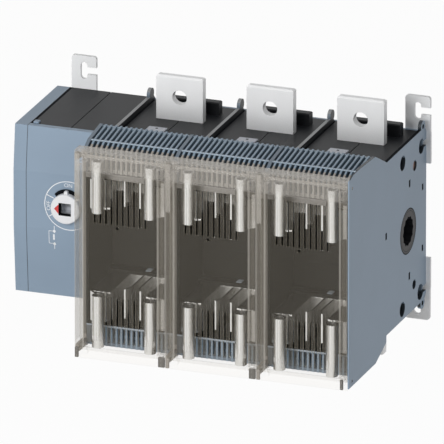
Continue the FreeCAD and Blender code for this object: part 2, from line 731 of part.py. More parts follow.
def bevel_wires(toward, place):
    """Large and small end of a bevel gear, whose cone ends where the two axes cross."""
    wires = []
    for distance in (BEVEL_R, BEVEL_R - BEVEL_FACE):
        flat = gear_points(BEVEL_TEETH, BEVEL_R, BEVEL_SLACK, toward, distance / BEVEL_R)
        points = [place(distance, a, b) for a, b in flat]
        wires.append(Part.makePolygon(points + points[:1]))
    return wires


def dial_shaft():
    """Shaft from the dial to the crossing point, with a bevel gear."""
    half = DIAL_SQUARE / 2 - DIAL_STEP
    y0 = DIAL_FRONT_Y + DIAL_T
    shaft = rod_y(-DIAL_X, y0, CROSS_Y - BEVEL_R, DIAL_Z, DIAL_SHAFT_R)
    wires = bevel_wires(math.pi, lambda far, a, b: V(-DIAL_X + a, CROSS_Y - far, DIAL_Z + b))
    socket = box(-DIAL_X - half, -DIAL_X + half, y0 - 1, y0 + DIAL_SOCKET,
                 DIAL_Z - half, DIAL_Z + half)
    return join(shaft, Part.makeLoft(wires, True, True)).cut(socket)


def gear_radius():
    return math.hypot(SHAFT_Y - CROSS_Y, DIAL_Z - MID_Z) / 2


def spur_gear(y, z, toward):
    flat = gear_points(GEAR_TEETH, gear_radius(), GEAR_SLACK, toward)
    return prism_x([(y + a, z + b) for a, b in flat], -GEAR_X, -GEAR_X + GEAR_T)


def mesh_direction():
    """Direction from the cross shaft to the switch shaft."""
    return math.atan2(MID_Z - DIAL_Z, SHAFT_Y - CROSS_Y)


def cross_shaft():
    """Shaft with a bevel gear for the dial and a spur gear for the switch shaft."""
    gear = spur_gear(CROSS_Y, DIAL_Z, mesh_direction())
    shaft = rod_x(-GEAR_X, -DIAL_X - BEVEL_R, CROSS_Y, DIAL_Z, CROSS_SHAFT_R)
    gap = math.pi + math.pi / BEVEL_TEETH
    wires = bevel_wires(gap, lambda far, a, b: V(-DIAL_X - far, CROSS_Y + a, DIAL_Z + b))
    return join(gear, shaft, Part.makeLoft(wires, True, True))


def main_gear():
    gap = mesh_direction() + math.pi + math.pi / GEAR_TEETH
    bore = rod_x(-GEAR_X - 1, -GEAR_X + GEAR_T + 1, SHAFT_Y, MID_Z, SHAFT_R)
    return spur_gear(SHAFT_Y, MID_Z, gap).cut(bore)


# Mounting rails

def rail(z0, z1):
    x0 = -LUG_X - LUG_SPAN - LUG_W / 2
    x1 = LUG_OUT
    return box(x0, x1, REAR_Y, DEPTH, z0, z1)


def lug(x, z0, z1, end_z):
    """Upright lug with round corners at its outer end."""
    plate = box(x - LUG_W / 2, x + LUG_W / 2, REAR_Y, DEPTH, z0, z1)
    corners = []
    for edge in plate.Edges:
        middle = edge.CenterOfMass
        crosswise = abs(edge.Length - RAIL_T) < 0.01
        if crosswise and abs(middle.z - end_z) < 0.01:
            corners.append(edge)
    return plate.makeFillet(LUG_CORNER, corners)


def lug_middles():
    return [-LUG_X, -LUG_X - LUG_SPAN]


def top_rail():
    pieces = []
    cuts = []
    for x in lug_middles():
        pieces.append(lug(x, RAIL_HIGH[0], LUG_TOP_Z, LUG_TOP_Z))
        reach = SLOT_H / 2 - SLOT_R
        cuts.append(rod_y(x, REAR_Y - 1, DEPTH + 1, SLOT_Z + reach, SLOT_R))
        cuts.append(rod_y(x, REAR_Y - 1, DEPTH + 1, SLOT_Z - reach, SLOT_R))
        cuts.append(box(x - SLOT_R, x + SLOT_R, REAR_Y - 1, DEPTH + 1, SLOT_Z - reach, SLOT_Z + reach))
        cuts.append(box(x, x + LUG_W, REAR_Y - 1, DEPTH + 1,
                        SLOT_Z - LUG_MOUTH / 2, SLOT_Z + LUG_MOUTH / 2))
    return join(rail(*RAIL_HIGH), *pieces).cut(cuts)


def bottom_rail():
    pieces = []
    cuts = []
    for x in lug_middles():
        pieces.append(lug(x, LUG_LOW_Z, RAIL_LOW[1], LUG_LOW_Z))
        cuts.append(rod_y(x, REAR_Y - 1, DEPTH + 1, LUG_HOLE_Z, LUG_HOLE_R))
    return join(rail(*RAIL_LOW), *pieces).cut(cuts)


def build():
    save("side_wall_right", right_wall())
    save("side_wall_left", inner_wall(POLES))
    for index in range(1, POLES):
        save("partition_" + str(index), inner_wall(index))
    save("cover_hinge_rod", cover_rod(HINGE_Z))
    save("cover_latch_rod", cover_rod(LATCH_Z))
    save("back_panel", box(-BLOCK_W + WALL, -WALL, HOUSE_BACK, REAR_Y,
                           2 * MID_Z - PLATE_TOP_Z, PLATE_TOP_Z))
    for index in range(POLES):
        x = pole_x(index)
        name = "_" + str(index + 1)
        save("top_louvre" + name, top_louvre(x))
        save("bottom_louvre" + name, bottom_louvre(x))
        save("fuse_chamber" + name, chamber(x))
        save("fuse_contact_lower" + name, lower_contact(x))
        save("fuse_contact_upper" + name, upper_contact(x))
        bar = terminal_bar(x)
        save("terminal_upper" + name, bar)
        save("terminal_lower" + name, flip(bar))
        plate = end_plate(x)
        save("top_plate" + name, plate)
        save("bottom_plate" + name, flip(plate))
        save("rotor" + name, rotor(x))
        save("moving_contact" + name, moving_contact(x))
        save("fuse_cover" + name, fuse_cover(x))
    save("switch_shaft", switch_shaft())
    save("main_gear", main_gear())
    save("cross_shaft", cross_shaft())
    save("dial", dial())
    save("dial_shaft", dial_shaft())
    save("drive_side_cover", drive_side_cover())
    save("drive_front", drive_front())
    save("drive_top_plate", drive_plate())
    save("drive_bottom_plate", flip(drive_plate()))
    save("drive_back", drive_back())
    save("drive_frame", drive_frame())
    save("mounting_rail_top", top_rail())
    save("mounting_rail_bottom", bottom_rail())


os.makedirs("parts", exist_ok=True)
build()
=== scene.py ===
import json
import math

import bpy
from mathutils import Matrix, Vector


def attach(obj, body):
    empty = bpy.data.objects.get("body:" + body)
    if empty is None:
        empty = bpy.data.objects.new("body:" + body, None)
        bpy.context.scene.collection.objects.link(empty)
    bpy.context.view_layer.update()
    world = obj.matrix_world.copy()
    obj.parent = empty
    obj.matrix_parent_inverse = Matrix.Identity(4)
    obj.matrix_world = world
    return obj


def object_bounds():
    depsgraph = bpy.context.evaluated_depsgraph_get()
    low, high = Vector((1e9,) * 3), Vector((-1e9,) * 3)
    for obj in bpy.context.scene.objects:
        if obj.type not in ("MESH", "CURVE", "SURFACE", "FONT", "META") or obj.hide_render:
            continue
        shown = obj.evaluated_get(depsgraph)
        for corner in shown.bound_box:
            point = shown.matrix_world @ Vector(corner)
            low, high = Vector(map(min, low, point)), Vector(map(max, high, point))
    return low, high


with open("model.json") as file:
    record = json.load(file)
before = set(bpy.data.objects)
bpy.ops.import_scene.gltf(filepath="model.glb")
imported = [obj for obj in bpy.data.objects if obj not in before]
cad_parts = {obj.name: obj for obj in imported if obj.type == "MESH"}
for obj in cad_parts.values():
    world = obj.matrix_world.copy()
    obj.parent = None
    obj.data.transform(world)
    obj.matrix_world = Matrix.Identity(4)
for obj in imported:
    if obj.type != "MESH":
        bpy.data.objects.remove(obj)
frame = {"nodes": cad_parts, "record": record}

CAD_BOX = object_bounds()
MM = 0.001
SCENE = bpy.context.scene
SCENE.view_settings.view_transform = "Standard"

# Colours, linear
HOUSING = (0.258, 0.338, 0.432)
RIDGE = (0.150, 0.190, 0.235)
RIDGE_TOP_HIGHLIGHT = (0.300, 0.310, 0.315)
LOUVRE = (0.250, 0.330, 0.410)
EDGE = (0.400, 0.450, 0.500)
CREST = (0.330, 0.400, 0.470)
LIP = (0.27, 0.255, 0.235)
POST = (0.150, 0.160, 0.165)
TAB = (0.560, 0.580, 0.640)
SEAM_SHADE = (0.060, 0.075, 0.090)
BLACK = (0.011, 0.012, 0.014)
CHAMBER = (0.013, 0.0125, 0.0105)
HUB = (0.110, 0.110, 0.112)
HOLLOW_SHADE = (0.020, 0.028, 0.036)
SHADOW = (0.006, 0.007, 0.009)
SILVER = (0.86, 0.85, 0.82)
CONTACT_SHADE = (0.26, 0.25, 0.23)
TIN = (0.97, 0.975, 0.98)
ZINC = (0.36, 0.37, 0.39)
COPPER = (0.34, 0.20, 0.15)
RAIL = (0.95, 0.96, 0.97)
WHITE = (0.84, 0.84, 0.85)
PRINT = (0.90, 0.91, 0.92)
RED = (0.62, 0.05, 0.045)
SMOKE = (0.37, 0.335, 0.275)
FROST = (0.60, 0.565, 0.51)
CREAM = (0.80, 0.68, 0.50)
SLOT_HIGHLIGHT = (0.62, 0.57, 0.46)
SMOKED = (0.165, 0.150, 0.128)
FOOT = (0.33, 0.30, 0.265)
VEILED = (0.36, 0.335, 0.30)
HOOK = (0.150, 0.140, 0.125)


class Nodes:
    """A material's node tree with short calls for what the materials share."""

    def __init__(self, name):
        self.material = bpy.data.materials.new(name)
        self.material.use_nodes = True
        self.tree = self.material.node_tree
        self.shader = self.tree.nodes["Principled BSDF"]

    def add(self, kind, **values):
        node = self.tree.nodes.new("ShaderNode" + kind)
        for key, value in values.items():
            setattr(node, key, value)
        return node

    def link(self, a, b):
        self.tree.links.new(a, b)

    def axis(self, output, letter):
        """One coordinate of a texture coordinate output."""
        split = self.add("SeparateXYZ")
        self.link(self.add("TexCoord").outputs[output], split.inputs[0])
        return split.outputs[letter]

    def noise(self, scale, detail, stretch=(1, 1, 1)):
        mapping = self.add("Mapping")
        mapping.inputs["Scale"].default_value = stretch
        self.link(self.add("TexCoord").outputs["Object"], mapping.inputs["Vector"])
        noise = self.add("TexNoise")
        noise.inputs["Scale"].default_value = scale
        noise.inputs["Detail"].default_value = detail
        self.link(mapping.outputs["Vector"], noise.inputs["Vector"])
        return noise.outputs["Fac"]

    def ramp(self, factor, low, high):
        """From one colour to the other over the middle of a noise's range."""
        ramp = self.add("ValToRGB")
        for element, place, color in zip(ramp.color_ramp.elements, (0.3, 0.7), (low, high)):
            element.position = place
            element.color = (*color, 1)
        self.link(factor, ramp.inputs["Fac"])
        return ramp.outputs["Color"]

    def spread(self, factor, low, high):
        spread = self.add("MapRange")
        spread.inputs["To Min"].default_value = low
        spread.inputs["To Max"].default_value = high
        self.link(factor, spread.inputs["Value"])
        return spread.outputs["Result"]

    def math(self, operation, a, b):
        node = self.add("Math", operation=operation)
        for index, value in enumerate((a, b)):
            if isinstance(value, (int, float)):
                node.inputs[index].default_value = value
            else:
                self.link(value, node.inputs[index])
        return node.outputs["Value"]

    def above(self, value, limit):
        return self.math("GREATER_THAN", value, limit)

    def below(self, value, limit):
        return self.math("LESS_THAN", value, limit)

    def times(self, a, b):
        return self.math("MULTIPLY", a, b)

    def most(self, a, b):
        return self.math("MAXIMUM", a, b)

    def choose(self, mask, off, on):
        """One value where the mask is 0 and the other where it is 1."""
        return self.math("ADD", self.times(off, self.spread(mask, 1.0, 0.0)), self.times(mask, on))

    def beyond(self, letter, place):
        """1 where the object's coordinate is over a place, in metres."""
        return self.above(self.axis("Object", letter), place)

    def before(self, letter, place):
        """1 where the object's coordinate is under a place, in metres."""
        return self.below(self.axis("Object", letter), place)

    def facing(self, letter, least=0.5):
        """1 on faces that look to the positive end of an axis."""
        return self.above(self.axis("Normal", letter), least)

    def slant(self, letter):
        """How far a face looks along an axis, either way."""
        return self.math("ABSOLUTE", self.axis("Normal", letter), 0)

    def mix(self, factor, a, b):
        node = self.add("MixRGB")
        self.link(factor, node.inputs["Fac"])
        for key, value in (("Color1", a), ("Color2", b)):
            if isinstance(value, tuple):
                node.inputs[key].default_value = (*value, 1)
            else:
                self.link(value, node.inputs[key])
        return node.outputs["Color"]

    def open_sky(self, reach, start, end):
        """0 in crevices and 1 on open faces."""
        node = self.add("AmbientOcclusion", samples=6)
        node.inputs["Distance"].default_value = reach
        spread = self.add("MapRange")
        spread.inputs["From Min"].default_value = start
        spread.inputs["From Max"].default_value = end
        self.link(node.outputs["AO"], spread.inputs["Value"])
        return spread.outputs["Result"]

    def paint_base(self, factor, color, vary, crevice_shade, change):
        """The base colour, a little uneven, with painted shade in crevices and changed in places if
        asked.
        """
        base = self.ramp(factor, shade(color, 1 - vary), shade(color, 1 + vary))
        if crevice_shade:
            dark, reach, start, end = crevice_shade
            base = self.mix(self.open_sky(reach, start, end), shade(color, dark), base)
        if change:
            base = change(self, base)
        self.link(base, self.shader.inputs["Base Color"])

    def relief(self, height, strength, depth, edge):
        """Bump on top of softly rounded edges."""
        bevel = self.add("Bevel", samples=4)
        bevel.inputs["Radius"].default_value = edge
        bump = self.add("Bump")
        bump.inputs["Strength"].default_value = strength
        bump.inputs["Distance"].default_value = depth
        self.link(bevel.outputs["Normal"], bump.inputs["Normal"])
        self.link(height, bump.inputs["Height"])
        self.link(bump.outputs["Normal"], self.shader.inputs["Normal"])


def shade(color, factor):
    return tuple(min(1.0, c * factor) for c in color)


def moulded(name, color, rough, grain=2200, vary=0.05, strength=0.10, shine=0.5, crevice_shade=None,
            change=None):
    """Moulded plastic with a fine spark-eroded grain."""
    n = Nodes(name)
    n.shader.inputs["Specular IOR Level"].default_value = shine
    n.paint_base(n.noise(9, 4), color, vary, crevice_shade, change)
    grains = n.noise(grain, 2)
    n.link(n.spread(grains, rough - 0.05, rough + 0.07), n.shader.inputs["Roughness"])
    n.relief(grains, strength, depth=0.00008, edge=0.0004)
    return n.material


def metal(name, color, rough, stretch=(9, 9, 1), strength=0.02, amount=1.0, vary=0.03, crevice_shade=None,
          change=None):
    """Plated metal with a faint drawn grain."""
    n = Nodes(name)
    n.shader.inputs["Metallic"].default_value = amount
    streak = n.noise(70, 2, stretch)
    n.paint_base(streak, color, vary, crevice_shade, change)
    n.link(n.spread(streak, rough - vary, rough + vary), n.shader.inputs["Roughness"])
    n.relief(streak, strength, depth=0.00005, edge=0.0003)
    return n.material


# The clear covers' regions. Heights and the slots' front edge are in metres, and the
# others are shares of the cover's width, from its middle.
BAND_FROM_Z = 0.173
FOOT_TO_Z = 0.002
SLOT_EDGE_Y = -0.2098
# The rims' painted highlight lines run between the fold's two shares and from the edge's share
# outwards.
FOLD_FROM = 0.409
FOLD_TO = 0.419
RIM_FROM = 0.42
EDGE_FROM = 0.493
# How much each region hides
CLEAR_ALPHA = (0.078, 0.46)
BAND_ALPHA = (0.18, 0.24)
CRUST_ALPHA = (0.05, 0.95)
SLOT_ALPHA = (0.04, 0.55)
RIM_ALPHA = 0.21
RIM_HIGHLIGHT_ALPHA = 0.40
FOOT_ALPHA = 0.05


def clear_plastic():
    """Smoky clear cover, whiter where it is seen along its face.

    Its upper band is frosted, the lines along its rims are painted highlights in the
    frosted colour, the slots' walls carry a painted gold highlight and its foot is cream.
    """
    n = Nodes("clear_cover")
    n.shader.inputs["Roughness"].default_value = 0.12
    glance = n.add("LayerWeight")
    glance.inputs["Blend"].default_value = 0.5
    alpha = n.spread(n.math("POWER", glance.outputs["Facing"], 2.4), *CLEAR_ALPHA)
    aside = n.math("ABSOLUTE", n.math("SUBTRACT", n.axis("Generated", "X"), 0.5), 0)
    rim = n.above(aside, RIM_FROM)
    alpha = n.most(alpha, n.times(rim, RIM_ALPHA))
    band = n.beyond("Z", BAND_FROM_Z)
    speckle = n.noise(520, 3)
    frost = n.times(band, n.spread(speckle, *BAND_ALPHA))
    crust = n.times(n.times(n.facing("Z"), band), n.spread(speckle, *CRUST_ALPHA))
    alpha = n.most(alpha, n.most(frost, crust))
    # The slots' walls get a painted gold highlight, more opaque at their front edge.
    across = n.above(n.slant("X"), 0.5)
    slot = n.math("SUBTRACT", across, n.times(across, rim))
    alpha = n.choose(slot, alpha, n.spread(n.before("Y", SLOT_EDGE_Y), *SLOT_ALPHA))
    # Painted highlight lines along the rims' fold and outer edge, in the frosted colour.
    line = n.times(n.above(aside, FOLD_FROM), n.below(aside, FOLD_TO))
    line = n.most(line, n.above(aside, EDGE_FROM))
    alpha = n.most(alpha, n.times(line, RIM_HIGHLIGHT_ALPHA))
    foot = n.before("Z", FOOT_TO_Z)
    n.link(n.choose(foot, alpha, FOOT_ALPHA), n.shader.inputs["Alpha"])
    color = n.mix(n.most(band, line), SMOKE, FROST)
    color = n.mix(slot, color, SLOT_HIGHLIGHT)
    n.link(n.mix(foot, color, CREAM), n.shader.inputs["Base Color"])
    return n.material


def frosted_plastic():
    """The covers' ribs, of the same plastic but milky."""
    n = Nodes("cover_frost")
    n.shader.inputs["Roughness"].default_value = 0.3
    n.shader.inputs["Alpha"].default_value = 0.30
    n.paint_base(n.noise(60, 2), FROST, 0.08, None, None)
    return n.material


# Where the housing's colours change, in metres: the rear of the ridges' arms and the top
# of their feet, the front and the bottom of the stretch beside the black plates, the right
# wall's front edge, the upper grille's tips, and a height between the two grilles.
ARM_REAR_Y = -0.1845
ARM_FOOT_Z = 0.008
CROWN_FRONT_Y = -0.105
CROWN_Z = 0.1735
WALL_FRONT_Y = -0.2085
GRILLE_TIP_Y = -0.177
MIDDLE_Z = 0.1


def shaded_socket(n, base):
    """Painted shade wherever the socket's sides are seen, instead of the hub's grey end face."""
    return n.mix(n.facing("X"), SHADOW, base)


def smoked_front(n, base):
    """Smoky beige arms in front of the chambers, paler at their feet.

    Beside the black plates the flanks get painted shade and the tops a pale painted highlight.
    """
    arm = n.before("Y", ARM_REAR_Y)
    base = n.mix(arm, base, n.mix(n.before("Z", ARM_FOOT_Z), SMOKED, FOOT))
    crown = n.times(n.beyond("Y", CROWN_FRONT_Y), n.beyond("Z", CROWN_Z))
    flank = n.above(n.slant("X"), 0.5)
    base = n.mix(n.times(crown, flank), base, SHADOW)
    return n.mix(n.times(crown, n.facing("Z")), base, RIDGE_TOP_HIGHLIGHT)


def shaded_hollows(n, base):
    """Painted shade inside the right wall's holes and along its top edge."""
    flat = n.below(n.slant("X"), 0.5)
    ahead = n.below(n.axis("Normal", "Y"), 0.5)
    raised = n.facing("Z", -0.5)
    behind = n.beyond("Y", WALL_FRONT_Y)
    return n.mix(n.times(n.times(flat, ahead), n.times(raised, behind)), base, HOLLOW_SHADE)


def shaded_contact_faces(n, base):
    """Painted dark reflection on the contacts' plates, and painted shade on the leaves' flat sides
    and the pillars' flanks, growing as a face turns along X, so edges and pillars' fronts stay
    bright.
    """
    side = n.times(n.math("POWER", n.slant("X"), 2.6), 0.85)
    return n.mix(n.most(n.facing("Z", 0.8), side), base, CONTACT_SHADE)


def veiled_front(n, base):
    """The upper grille's front ends, which are beige where they stand behind the covers."""
    return n.mix(n.times(n.before("Y", GRILLE_TIP_Y), n.beyond("Z", MIDDLE_Z)), base, VEILED)


# A crevice shade is painted shade between things, such as between the louvre's fins: how dark it
# gets, how far round it looks in metres, and the openness from which and up to which the colour goes
# back to its own.
PLASTICS = {
    "housing_plastic": dict(color=HOUSING, rough=0.46),
    "wall_plastic": dict(color=HOUSING, rough=0.46, change=shaded_hollows),
    "louvre_plastic": dict(color=LOUVRE, rough=0.42, crevice_shade=(0.42, 0.006, 0.10, 0.65),
                           change=veiled_front),
    "black_plastic": dict(color=BLACK, rough=0.45, vary=0.10, shine=0.18),
    "chamber_plastic": dict(color=CHAMBER, rough=0.55, vary=0.10, shine=0.15, grain=30, strength=0.0),
    "ridge_plastic": dict(color=RIDGE, rough=0.46, change=smoked_front),
    "edge_plastic": dict(color=EDGE, rough=0.45),
    "crest_plastic": dict(color=CREST, rough=0.45),
    "lip_plastic": dict(color=LIP, rough=0.45),
    "post_plastic": dict(color=POST, rough=0.45),
    "tab_plastic": dict(color=TAB, rough=0.45),
    "hook_plastic": dict(color=HOOK, rough=0.40),
    "hook_pale": dict(color=FOOT, rough=0.40),
    "seam_shade": dict(color=SEAM_SHADE, rough=0.50),
    "hub_plastic": dict(color=HUB, rough=0.60, shine=0.15, change=shaded_socket),
    "rail_steel": dict(color=RAIL, rough=0.42, grain=1200),
    "dial_white": dict(color=WHITE, rough=0.35, vary=0.02),
    "print": dict(color=PRINT, rough=0.45, vary=0.02),
    "red": dict(color=RED, rough=0.40, vary=0.04),
    "shadow": dict(color=SHADOW, rough=0.70, shine=0.03),
}
# The metals' crevice shades are painted shade too, in the contacts' gaps and on the terminals near
# the parts round them.
METALS = {
    "contact_silver": dict(color=SILVER, rough=0.20, stretch=(1, 1, 1), strength=0.0, amount=0.92,
                           vary=0.01, crevice_shade=(0.20, 0.002, 0.10, 0.60), change=shaded_contact_faces),
    "terminal_tin": dict(color=TIN, rough=0.40, stretch=(1, 1, 0.2), strength=0.0, amount=0.15,
                         vary=0.015, crevice_shade=(0.66, 0.035, 0.30, 0.98)),
    "steel": dict(color=ZINC, rough=0.32),
    "copper": dict(color=COPPER, rough=0.35),
}
MATERIALS = {name: moulded(name, **look) for name, look in PLASTICS.items()}
MATERIALS.update({name: metal(name, **look) for name, look in METALS.items()})
MATERIALS["clear_cover"] = clear_plastic()
MATERIALS["cover_frost"] = frosted_plastic()


def paint(piece, material):
    piece.data.materials.clear()
    piece.data.materials.append(material)


def finish_of(name, slot):
    """A solid's finish: its record slot's, except where the photograph shows another."""
    if name == "side_wall_right":
        return "wall_plastic"
    if "partition" in name or name == "side_wall_left":
        return "ridge_plastic"
    if "louvre" in name:
        return "louvre_plastic"
    if name in ("cover_hinge_rod", "cover_latch_rod"):
        return "clear_cover"
    return slot


for part in frame["record"]["subparts"]:
    node = part["node"]
    paint(frame["nodes"][node], MATERIALS[finish_of(node, part["material_slot"])])


# Camera, as fitted to the photograph: nearly parallel rays
AZIMUTH = math.radians(19.99)
ELEVATION = math.radians(19.70)
PHOTO_PIXELS = 444
PIXELS_PER_MM = 1.1043
FRAME_WIDTH = PHOTO_PIXELS / PIXELS_PER_MM * MM
LENS = 1600.0
SENSOR = 36.0
LOOK_AT = Vector((-0.4, -111.0, 96.0)) * MM
SHIFT_RIGHT = 11.41 * MM
SHIFT_UP = 5.25 * MM


def set_camera():
    forward = Vector((
        -math.sin(AZIMUTH) * math.cos(ELEVATION),
        math.cos(AZIMUTH) * math.cos(ELEVATION),
        -math.sin(ELEVATION),
    ))
    right = Vector((math.cos(AZIMUTH), math.sin(AZIMUTH), 0))
    up = right.cross(forward)
    camera = bpy.data.objects.new("camera", bpy.data.cameras.new("camera"))
    SCENE.collection.objects.link(camera)
    camera.data.lens = LENS
    camera.data.sensor_width = SENSOR
    distance = FRAME_WIDTH * LENS / SENSOR
    target = LOOK_AT + right * SHIFT_RIGHT + up * SHIFT_UP
    camera.location = target - forward * distance
    camera.rotation_mode = "QUATERNION"
    camera.rotation_quaternion = forward.to_track_quat("-Z", "Y")
    camera.data.clip_start = 0.1
    camera.data.clip_end = distance + 5
    SCENE.camera = camera


def area_light(name, place, target, size, power):
    light = bpy.data.lights.new(name, "AREA")
    light.shape = "DISK"
    light.size = size
    light.energy = power
    lamp = bpy.data.objects.new(name, light)
    SCENE.collection.objects.link(lamp)
    lamp.location = place
    lamp.rotation_mode = "QUATERNION"
    lamp.rotation_quaternion = (Vector(target) - Vector(place)).to_track_quat("-Z", "Y")


def shown(tree):
    """1 for what the camera sees, in mirrors and through glass too, and 0 for stray light."""
    path = tree.nodes.new("ShaderNodeLightPath")
    result = path.outputs["Is Camera Ray"]
    for kind in ("Is Transmission Ray", "Is Glossy Ray"):
        node = tree.nodes.new("ShaderNodeMath")
        node.operation = "MAXIMUM"
        tree.links.new(result, node.inputs[0])
        tree.links.new(path.outputs[kind], node.inputs[1])
        result = node.outputs["Value"]
    return result


FILL_LEVEL = 0.29
FLOOR_DROP = 0.30
FLOOR_HALF = 6.0
FLOOR_GLOW = 0.96


def set_world():
    """White where it is seen, and a soft grey fill elsewhere."""
    world = bpy.data.worlds.new("studio")
    SCENE.world = world
    world.use_nodes = True
    tree = world.node_tree
    background = tree.nodes["Background"]
    background.inputs["Color"].default_value = (1, 1, 1, 1)
    level = tree.nodes.new("ShaderNodeMapRange")
    level.inputs["To Min"].default_value = FILL_LEVEL
    level.inputs["To Max"].default_value = 1.0
    tree.links.new(shown(tree), level.inputs["Value"])
    tree.links.new(level.outputs["Result"], background.inputs["Strength"])


def set_floor():
    """Pale floor below the device, white to the camera and still shaded a little."""
    low = CAD_BOX[0].z - FLOOR_DROP
    corners = [(a * FLOOR_HALF, b * FLOOR_HALF, low) for a, b in ((-1, -1), (1, -1), (1, 1), (-1, 1))]
    mesh = bpy.data.meshes.new("floor")
    mesh.from_pydata(corners, [], [(0, 1, 2, 3)])
    floor = bpy.data.objects.new("floor", mesh)
    SCENE.collection.objects.link(floor)
    n = Nodes("floor")
    n.shader.inputs["Base Color"].default_value = (0.9, 0.9, 0.9, 1)
    n.shader.inputs["Roughness"].default_value = 0.8
    glow = n.add("Emission")
    mix = n.add("MixShader")
    n.link(n.spread(shown(n.tree), 0.0, FLOOR_GLOW), mix.inputs["Fac"])
    n.link(n.shader.outputs["BSDF"], mix.inputs[1])
    n.link(glow.outputs["Emission"], mix.inputs[2])
    n.link(mix.outputs["Shader"], n.tree.nodes["Material Output"].inputs["Surface"])
    paint(floor, n.material)


set_camera()
set_world()
set_floor()
area_light("key", place=(-0.14, -0.93, 0.42), target=(-0.05, -0.1, 0.12), size=0.5, power=5.0)
area_light("fill", place=(1.4, -0.9, 0.7), target=(0, -0.1, 0.1), size=1.2, power=2.5)


# Detail pieces. Places are in millimetres from the lower front corner of the right
# wall, as in the part's source. The CAD origin is at CORNER there.
CORNER = Vector((-169.6, 211.0, 4.0))
POLES = 3
POLE_PITCH = 87.2
POLE_1_X = -45.2
PANEL_Y = 93.0
PANEL_EDGE_Y = 97.5
PANEL_LOW = 82.0
PANEL_HIGH = 136.0
PANEL_BOTTOM = 18.0
PANEL_TOP = 178.6
DIAL_X = -304.6
DIAL_Z = 105.5
DIAL_FRONT_Y = 86.0
SHAFT_Y = 159.0
SHAFT_Z = 97.7
INK = 0.06
LETTER_SIZE = 5.2


def at(x, y, z):
    return (Vector((x, y, z)) - CORNER) * MM


def about(middle, *ends):
    """Places measured from a middle."""
    return [middle + end for end in ends]


def panel_y(z):
    """Front of the drive module at a height: flat in the middle, leaning back above and below."""
    if z < PANEL_LOW:
        part = (PANEL_LOW - z) / (PANEL_LOW - PANEL_BOTTOM)
    elif z > PANEL_HIGH:
        part = (z - PANEL_HIGH) / (PANEL_TOP - PANEL_HIGH)
    else:
        part = 0
    return PANEL_Y + part * (PANEL_EDGE_Y - PANEL_Y)


def piece(name, points, faces, finish, body="root", bevel=0.0):
    """A mesh piece from points in millimetres."""
    mesh = bpy.data.meshes.new(name)
    mesh.from_pydata([at(*p) for p in points], [], faces)
    mesh.validate()
    thing = bpy.data.objects.new(name, mesh)
    SCENE.collection.objects.link(thing)
    paint(thing, MATERIALS[finish])
    if bevel:
        rounding = thing.modifiers.new("edges", "BEVEL")
        rounding.width = bevel * MM
        rounding.segments = 2
        rounding.limit_method = "ANGLE"
    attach(thing, body)


def brick(name, x, y, z, finish, bevel, body="root"):
    """A block between pairs of X, Y and Z."""
    points = [(a, b, c) for a in x for b in y for c in z]
    faces = [(0, 1, 3, 2), (4, 6, 7, 5), (0, 4, 5, 1), (2, 3, 7, 6), (0, 2, 6, 4), (1, 5, 7, 3)]
    piece(name, points, faces, finish, body, bevel)


def ribbon(name, path, width):
    """A printed line on the drive panel, along points in X and Z."""
    points = []
    faces = []
    for (x0, z0), (x1, z1) in zip(path, path[1:]):
        length = math.hypot(x1 - x0, z1 - z0)
        dx = (z1 - z0) / length * width / 2
        dz = -(x1 - x0) / length * width / 2
        first = len(points)
        for x, z in ((x0 - dx, z0 - dz), (x0 + dx, z0 + dz), (x1 + dx, z1 + dz), (x1 - dx, z1 - dz)):
            points.append((x, panel_y(z) - INK, z))
        faces.append((first, first + 1, first + 2, first + 3))
    piece(name, points, faces, "print")


def patch(name, outline, finish, y=None, body="root", lift=INK):
    """A printed shape on the drive panel, or on a plane at a given Y."""
    points = [(x, (panel_y(z) if y is None else y) - lift, z) for x, z in outline]
    piece(name, points, [tuple(range(len(points)))], finish, body)


def lettering(name, words, x, z, upright=False):
    curve = bpy.data.curves.new(name, "FONT")
    curve.body = words
    curve.size = LETTER_SIZE * MM
    curve.align_x = "CENTER"
    curve.align_y = "CENTER"
    curve.extrude = INK / 2 * MM
    text = bpy.data.objects.new(name, curve)
    SCENE.collection.objects.link(text)
    text.location = at(x, panel_y(z) - INK / 2, z)
    text.rotation_euler = (math.radians(90), math.radians(-90 if upright else 0), 0)
    curve.materials.append(MATERIALS["print"])
    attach(text, "root")


def arc(x, z, r, start, end, steps):
    angles = [math.radians(start + (end - start) * i / steps) for i in range(steps + 1)]
    return [(x + r * math.cos(a), z + r * math.sin(a)) for a in angles]


# Print round the dial: a ring, a sector for the off position, and words
RING_X = -303.3
RING_Z = 107.0
RING_R = 23.2
SECTOR_R = 15.5
WORD_R = 19.4
ribbon("print_ring", arc(RING_X, RING_Z, RING_R, 0, 360, 72), 0.75)
for edge, degrees in (("high", 158), ("low", 212)):
    turn = math.radians(degrees)
    path = [(RING_X + r * math.cos(turn), RING_Z + r * math.sin(turn)) for r in (SECTOR_R, RING_R)]
    ribbon("print_off_" + edge, path, 0.7)
lettering("print_off", "OFF", RING_X - WORD_R, DIAL_Z - 0.4, upright=True)
lettering("print_on", "ON", RING_X - 0.4, RING_Z + WORD_R)

# Isolator symbol: two diamonds, and lines as X from its middle and Z, with their widths
SIGN_X = -317.4
DIAMONDS_Z = (81.0, 68.4)
for index, z in enumerate(DIAMONDS_Z):
    diamond = [(SIGN_X, z + 1.9), (SIGN_X - 1.6, z), (SIGN_X, z - 1.9), (SIGN_X + 1.6, z)]
    patch("print_contact_" + str(index + 1), diamond, "print")
for name, path, width in (
    ("top", ((0, 86.0), (0, 80.5)), 0.6),
    ("link", ((-0.5, 78.0), (-0.5, 72.5)), 1.5),
    ("low", ((0, 69.0), (0, 63.5)), 0.6),
    ("frame", ((-1.5, 81.0), (-5.2, 81.0), (-5.2, 68.8), (-1.5, 68.8)), 0.45),
):
    ribbon("print_sign_" + name, [(SIGN_X + x, z) for x, z in path], width)

